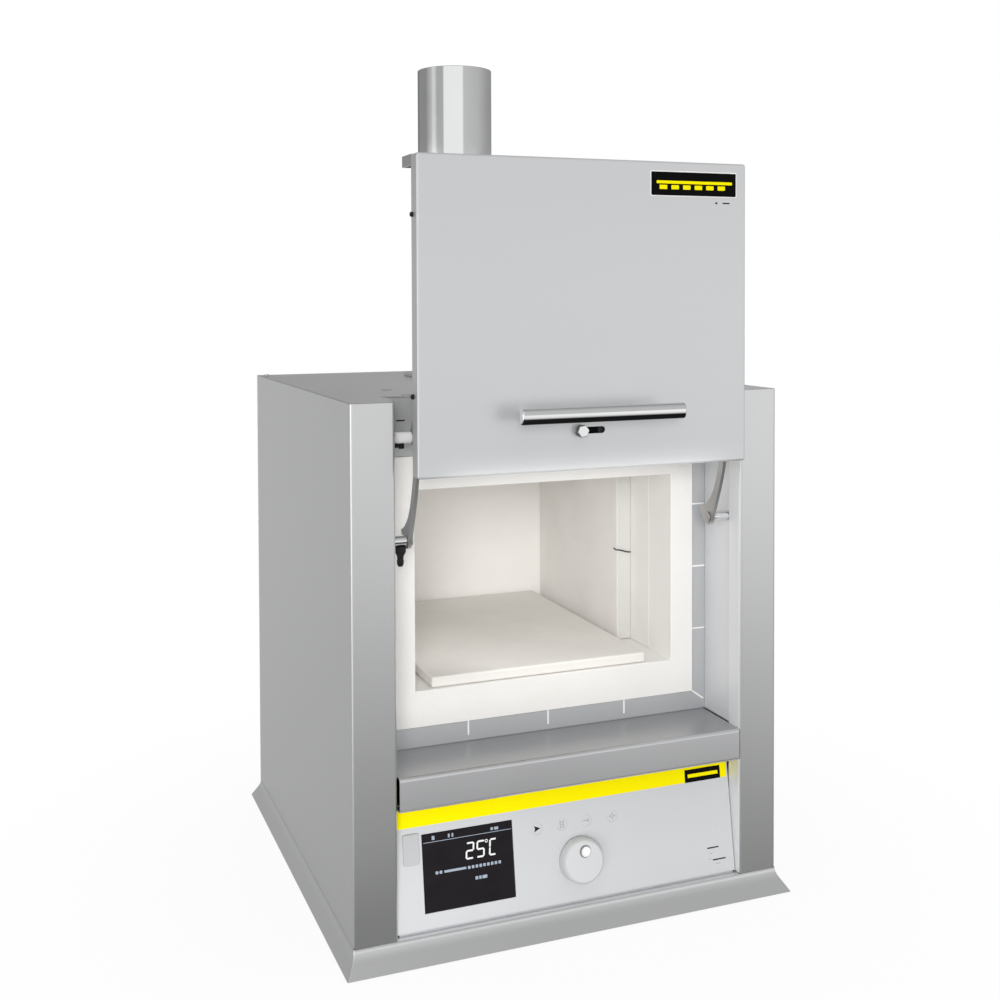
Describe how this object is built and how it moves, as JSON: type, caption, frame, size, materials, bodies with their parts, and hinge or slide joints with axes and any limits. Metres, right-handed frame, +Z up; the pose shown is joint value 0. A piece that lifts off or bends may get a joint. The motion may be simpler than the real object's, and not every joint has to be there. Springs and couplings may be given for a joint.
{
  "type": "pottery kiln",
  "caption": "Benchtop chamber kiln with a parallel-arm lift door, fibre-lined firing chamber, roof chimney and a sloped controller under the sill.",
  "frame": {"origin": "middle of the footprint at table level, with the door open and its handle counted in the footprint", "axes": "+X to the kiln's right as its user sees it, +Y from the front to the back, +Z up"},
  "size_m": [0.433, 0.4728, 0.818],
  "materials": {
    "housing_steel": "satin",
    "door_steel": "satin",
    "polished_steel": "polished",
    "linkage_steel": "satin",
    "ceramic_fibre": "matte",
    "heater_ceramic": "matte",
    "floor_ceramic": "matte",
    "tube_ceramic": "satin",
    "fascia_plastic": "satin",
    "dial_plastic": "satin",
    "black_plastic": "satin",
    "display_glass": "gloss",
    "rubber_foot": "matte",
    "circuit_board": "satin",
    "plated_metal": "satin"
  },
  "bodies": {
    "housing": {"base_tray": "housing_steel", "left_side_shell": "housing_steel", "right_side_shell": "housing_steel", "top_panel": "housing_steel", "rear_panel": "housing_steel", "front_frame_plate": "housing_steel", "left_recess_liner": "housing_steel", "right_recess_liner": "housing_steel", "sill_apron": "housing_steel", "chimney_flange": "housing_steel", "front_left_foot": "rubber_foot", "front_right_foot": "rubber_foot", "rear_left_foot": "rubber_foot", "rear_right_foot": "rubber_foot", "insulation_collar": "ceramic_fibre", "insulation_floor": "ceramic_fibre", "insulation_roof": "ceramic_fibre", "left_insulation_wall": "ceramic_fibre", "right_insulation_wall": "ceramic_fibre", "insulation_back": "ceramic_fibre", "left_heater_plate": "heater_ceramic", "right_heater_plate": "heater_ceramic", "chamber_floor_plate": "floor_ceramic", "thermocouple": "tube_ceramic", "exhaust_tube": "tube_ceramic", "controller_fascia": "fascia_plastic", "terminal_block": "dial_plastic", "display": "display_glass", "control_board": "circuit_board", "usb_socket": "plated_metal", "power_relay": "black_plastic", "power_inlet": "black_plastic", "door_switch": "black_plastic", "left_lower_pivot": "linkage_steel", "left_upper_pivot": "linkage_steel", "right_lower_pivot": "linkage_steel", "right_upper_pivot": "linkage_steel", "chimney_tube": "polished_steel"},
    "lower_arms": {"left_lower_arm": "linkage_steel", "right_lower_arm": "linkage_steel"},
    "upper_arms": {"left_upper_arm": "linkage_steel", "right_upper_arm": "linkage_steel"},
    "door": {"door_panel": "door_steel", "door_inner_frame": "door_steel", "door_insulation": "ceramic_fibre", "handle_bar": "polished_steel", "left_handle_post": "polished_steel", "right_handle_post": "polished_steel", "left_door_bracket": "linkage_steel", "right_door_bracket": "linkage_steel", "air_guide": "black_plastic"},
    "air_slider": {"air_slider": "polished_steel"},
    "dial_shaft": {"encoder_shaft": "plated_metal"},
    "jog_dial": {"jog_dial": "dial_plastic"},
    "key_1": {"key_1": "fascia_plastic"},
    "key_2": {"key_2": "fascia_plastic"},
    "key_3": {"key_3": "fascia_plastic"},
    "key_4": {"key_4": "fascia_plastic"},
    "usb_flap": {"usb_flap": "fascia_plastic"},
    "power_rocker": {"power_rocker": "black_plastic"}
  },
  "joints": [
    {"name": "door_lift", "type": "hinge", "parent": "housing", "child": "lower_arms", "pos_m": [0, -0.1516, 0.358], "axis": [1, 0, 0], "range_deg": [0, 164.7]},
    {"name": "upper_arm_swing", "type": "hinge", "parent": "housing", "child": "upper_arms", "pos_m": [0, -0.1516, 0.447], "axis": [1, 0, 0], "range_deg": [0, 164.7]},
    {"name": "door_pivot", "type": "hinge", "parent": "lower_arms", "child": "door", "pos_m": [0, -0.18157, 0.48281], "axis": [1, 0, 0], "range_deg": [-164.7, 0]},
    {"name": "air_inlet", "type": "slide", "parent": "door", "child": "air_slider", "axis": [1, 0, 0], "range_m": [0, 0.0188]},
    {"name": "dial_turn", "type": "hinge", "parent": "housing", "child": "dial_shaft", "pos_m": [0.007, -0.16377, 0.0579], "axis": [0, -0.9889, 0.1483], "continuous": true},
    {"name": "dial_press", "type": "slide", "parent": "dial_shaft", "child": "jog_dial", "axis": [0, 0.9889, -0.1483], "range_m": [0, 0.001], "stiffness_N_per_m": 2500, "springref_m": -0.0002},
    {"name": "key_1_press", "type": "slide", "parent": "housing", "child": "key_1", "axis": [0, 0.9889, -0.1483], "range_m": [0, 0.0006], "stiffness_N_per_m": 3000, "springref_m": -0.0002},
    {"name": "key_2_press", "type": "slide", "parent": "housing", "child": "key_2", "axis": [0, 0.9889, -0.1483], "range_m": [0, 0.0006], "stiffness_N_per_m": 3000, "springref_m": -0.0002},
    {"name": "key_3_press", "type": "slide", "parent": "housing", "child": "key_3", "axis": [0, 0.9889, -0.1483], "range_m": [0, 0.0006], "stiffness_N_per_m": 3000, "springref_m": -0.0002},
    {"name": "key_4_press", "type": "slide", "parent": "housing", "child": "key_4", "axis": [0, 0.9889, -0.1483], "range_m": [0, 0.0006], "stiffness_N_per_m": 3000, "springref_m": -0.0002},
    {"name": "usb_flap_hinge", "type": "hinge", "parent": "housing", "child": "usb_flap", "pos_m": [-0.1587, -0.16, 0.09009], "axis": [0, -0.1483, -0.9889], "range_deg": [0, 100]},
    {"name": "power_switch", "type": "hinge", "parent": "housing", "child": "power_rocker", "pos_m": [0.15, 0.2274, 0.0795], "axis": [1, 0, 0], "range_deg": [0, 14]}
  ],
  "couplings": [
    {"joint": "upper_arm_swing", "follows": "door_lift", "ratio": 1},
    {"joint": "door_pivot", "follows": "door_lift", "ratio": -1}
  ]
}
